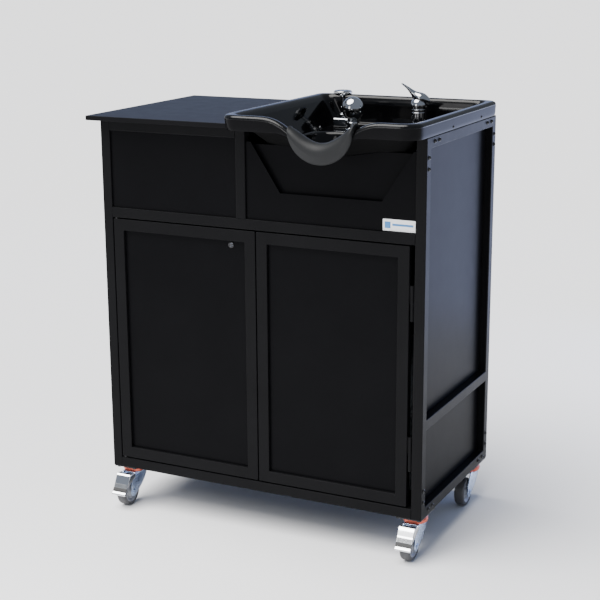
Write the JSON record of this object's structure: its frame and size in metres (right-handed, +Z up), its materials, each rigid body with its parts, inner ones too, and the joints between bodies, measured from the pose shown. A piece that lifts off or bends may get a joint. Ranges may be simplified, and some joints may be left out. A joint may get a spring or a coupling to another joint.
{
  "type": "shampoo backwash unit",
  "caption": "Black mobile salon shampoo cabinet: notched basin with mixer and hand spray, side worktop, double doors over tanks, pump and heater, on braked swivel casters.",
  "frame": {"origin": "centre of the bounding box's base, on the floor under the casters", "axes": "+Z up, -Y towards the client's side with the doors and the neck notch, +X towards the basin side"},
  "size_m": [0.909, 0.6004, 1.1157],
  "materials": {
    "powder_black": "black powder coat, fine texture",
    "panel_black": "satin black sheet",
    "laminate_black": "board with matt black laminate",
    "gloss_black": "glossy moulded black",
    "rubber_dark": "soft dark grey moulding",
    "chrome": "polished",
    "zinc": "bright zinc plate",
    "tyre_grey": "grey tread",
    "tank_white": "natural moulded",
    "tank_grey": "grey moulded",
    "casing_white": "white paint",
    "pump_black": "moulded",
    "hose_grey": "flexible hose"
  },
  "bodies": {
    "cabinet": {"left_side_frame": "powder_black", "right_side_frame": "powder_black", "front_bottom_rail": "powder_black", "front_mid_rail": "powder_black", "front_top_rail": "powder_black", "centre_post": "powder_black", "back_bottom_rail": "powder_black", "back_top_rail": "powder_black", "right_hinge_lower": "powder_black", "right_hinge_upper": "powder_black", "left_lower_panel": "panel_black", "left_upper_panel": "panel_black", "right_lower_panel": "panel_black", "right_upper_panel": "panel_black", "back_panel": "panel_black", "front_left_panel": "panel_black", "front_right_panel": "panel_black", "splash_panel": "panel_black", "floor_panel": "panel_black", "worktop": "laminate_black", "basin": "gloss_black", "neck_rest": "rubber_dark", "left_pivot_lower": "zinc", "left_pivot_upper": "zinc", "drain_tailpiece": "pump_black", "mixer_body": "chrome", "vacuum_breaker": "chrome", "spray_holder": "chrome", "hose_loop": "hose_grey", "waste_hose": "hose_grey", "fresh_tank": "tank_white", "waste_tank": "tank_grey", "water_heater": "casing_white", "water_pump": "pump_black", "power_inlet": "pump_black", "caster_front_left_plate": "zinc", "caster_front_right_plate": "zinc", "caster_back_left_plate": "zinc", "caster_back_right_plate": "zinc"},
    "left_door": {"left_door_frame": "powder_black", "left_door_panel": "panel_black", "lock_barrel": "chrome"},
    "right_door": {"right_door_frame": "powder_black", "right_door_panel": "panel_black"},
    "lock_cam": {"lock_cam": "zinc"},
    "mixer_dome": {"mixer_dome": "chrome"},
    "mixer_lever": {"mixer_lever": "chrome"},
    "hand_spray": {"spray_head": "chrome", "spray_hose": "hose_grey"},
    "strainer": {"drain_strainer": "chrome"},
    "caster_front_left": {"caster_front_left_fork": "zinc"},
    "wheel_front_left": {"caster_front_left_wheel": "tyre_grey"},
    "pedal_front_left": {"caster_front_left_pedal": "chrome"},
    "caster_front_right": {"caster_front_right_fork": "zinc"},
    "wheel_front_right": {"caster_front_right_wheel": "tyre_grey"},
    "pedal_front_right": {"caster_front_right_pedal": "chrome"},
    "caster_back_left": {"caster_back_left_fork": "zinc"},
    "wheel_back_left": {"caster_back_left_wheel": "tyre_grey"},
    "caster_back_right": {"caster_back_right_fork": "zinc"},
    "wheel_back_right": {"caster_back_right_wheel": "tyre_grey"}
  },
  "joints": [
    {"name": "left_door_hinge", "type": "hinge", "parent": "cabinet", "child": "left_door", "pos_m": [-0.3971, -0.19585, 0.46], "axis": [0, 0, -1], "range_deg": [0, 100]},
    {"name": "right_door_hinge", "type": "hinge", "parent": "cabinet", "child": "right_door", "pos_m": [0.415, -0.19735, 0.46], "axis": [0, 0, 1], "range_deg": [0, 100]},
    {"name": "lock_turn", "type": "hinge", "parent": "left_door", "child": "lock_cam", "pos_m": [-0.066, -0.18185, 0.7427], "axis": [0, 1, 0], "range_deg": [0, 90]},
    {"name": "mixer_swivel", "type": "hinge", "parent": "cabinet", "child": "mixer_dome", "pos_m": [0.2689, 0.19415, 1.06], "axis": [0, 0, 1], "range_deg": [-45, 45]},
    {"name": "mixer_lift", "type": "hinge", "parent": "mixer_dome", "child": "mixer_lever", "pos_m": [0.2689, 0.19415, 1.06], "axis": [-0.342, 0.9397, 0], "range_deg": [0, 22]},
    {"name": "spray_lift", "type": "slide", "parent": "cabinet", "child": "hand_spray", "axis": [0, 0, 1], "range_m": [0, 0.12]},
    {"name": "strainer_lift", "type": "slide", "parent": "cabinet", "child": "strainer", "axis": [0, 0, 1], "range_m": [0, 0.06]},
    {"name": "swivel_front_left", "type": "hinge", "parent": "cabinet", "child": "caster_front_left", "pos_m": [-0.3991, -0.15185, 0.09], "axis": [0, 0, 1], "continuous": true},
    {"name": "spin_front_left", "type": "hinge", "parent": "caster_front_left", "child": "wheel_front_left", "pos_m": [-0.3991, -0.18885, 0.0375], "axis": [1, 0, 0], "continuous": true},
    {"name": "brake_front_left", "type": "hinge", "parent": "caster_front_left", "child": "pedal_front_left", "pos_m": [-0.3991, -0.18785, 0.082], "axis": [-1, 0, 0], "range_deg": [0, 18]},
    {"name": "swivel_front_right", "type": "hinge", "parent": "cabinet", "child": "caster_front_right", "pos_m": [0.4141, -0.15185, 0.09], "axis": [0, 0, 1], "continuous": true},
    {"name": "spin_front_right", "type": "hinge", "parent": "caster_front_right", "child": "wheel_front_right", "pos_m": [0.4141, -0.18885, 0.0375], "axis": [1, 0, 0], "continuous": true},
    {"name": "brake_front_right", "type": "hinge", "parent": "caster_front_right", "child": "pedal_front_right", "pos_m": [0.4141, -0.18785, 0.082], "axis": [-1, 0, 0], "range_deg": [0, 18]},
    {"name": "swivel_back_left", "type": "hinge", "parent": "cabinet", "child": "caster_back_left", "pos_m": [-0.3991, 0.23065, 0.09], "axis": [0, 0, 1], "continuous": true},
    {"name": "spin_back_left", "type": "hinge", "parent": "caster_back_left", "child": "wheel_back_left", "pos_m": [-0.3991, 0.19365, 0.0375], "axis": [1, 0, 0], "continuous": true},
    {"name": "swivel_back_right", "type": "hinge", "parent": "cabinet", "child": "caster_back_right", "pos_m": [0.4141, 0.23065, 0.09], "axis": [0, 0, 1], "continuous": true},
    {"name": "spin_back_right", "type": "hinge", "parent": "caster_back_right", "child": "wheel_back_right", "pos_m": [0.4141, 0.19365, 0.0375], "axis": [1, 0, 0], "continuous": true}
  ]
}
